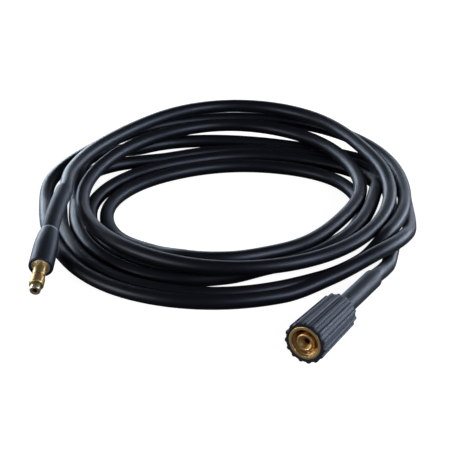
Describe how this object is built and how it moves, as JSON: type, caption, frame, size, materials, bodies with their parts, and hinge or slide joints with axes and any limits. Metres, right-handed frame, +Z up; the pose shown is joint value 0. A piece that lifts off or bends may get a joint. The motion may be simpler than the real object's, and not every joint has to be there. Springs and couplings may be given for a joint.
{
  "type": "pressure washer hose",
  "caption": "Loosely coiled black high pressure hose with a ribbed swivel hand nut on one end and a brass quick connect plug in a moulded grip on the other.",
  "frame": {"origin": "middle of the bounding box in plan, on the floor that the coil lies on", "axes": "+Z up; the hand nut's axis lies along Y with its mouth facing -Y; the plug's tip also points mostly towards -Y"},
  "size_m": [0.3734, 0.4055, 0.0393],
  "materials": {
    "hose_rubber": "satin",
    "nut_plastic": "satin",
    "insert_brass": "polished",
    "nut_nipple_brass": "polished",
    "nut_sleeve_plastic": "satin",
    "boot_plastic": "satin",
    "collar_steel": "polished",
    "grip_plastic": "satin",
    "plug_nipple_brass": "polished",
    "seal_rubber": "satin"
  },
  "bodies": {
    "hose": {"hose": "hose_rubber", "nut_nipple": "nut_nipple_brass", "nut_sleeve": "nut_sleeve_plastic", "plug_boot": "boot_plastic", "plug_collar": "collar_steel", "plug_grip": "grip_plastic", "plug_nipple": "plug_nipple_brass", "plug_o_ring": "seal_rubber"},
    "nut": {"nut_grip": "nut_plastic", "nut_insert": "insert_brass"}
  },
  "joints": [
    {"name": "nut_spin", "type": "hinge", "parent": "hose", "child": "nut", "pos_m": [0.169, -0.185, 0.01712], "axis": [0, 1, 0], "continuous": true}
  ]
}
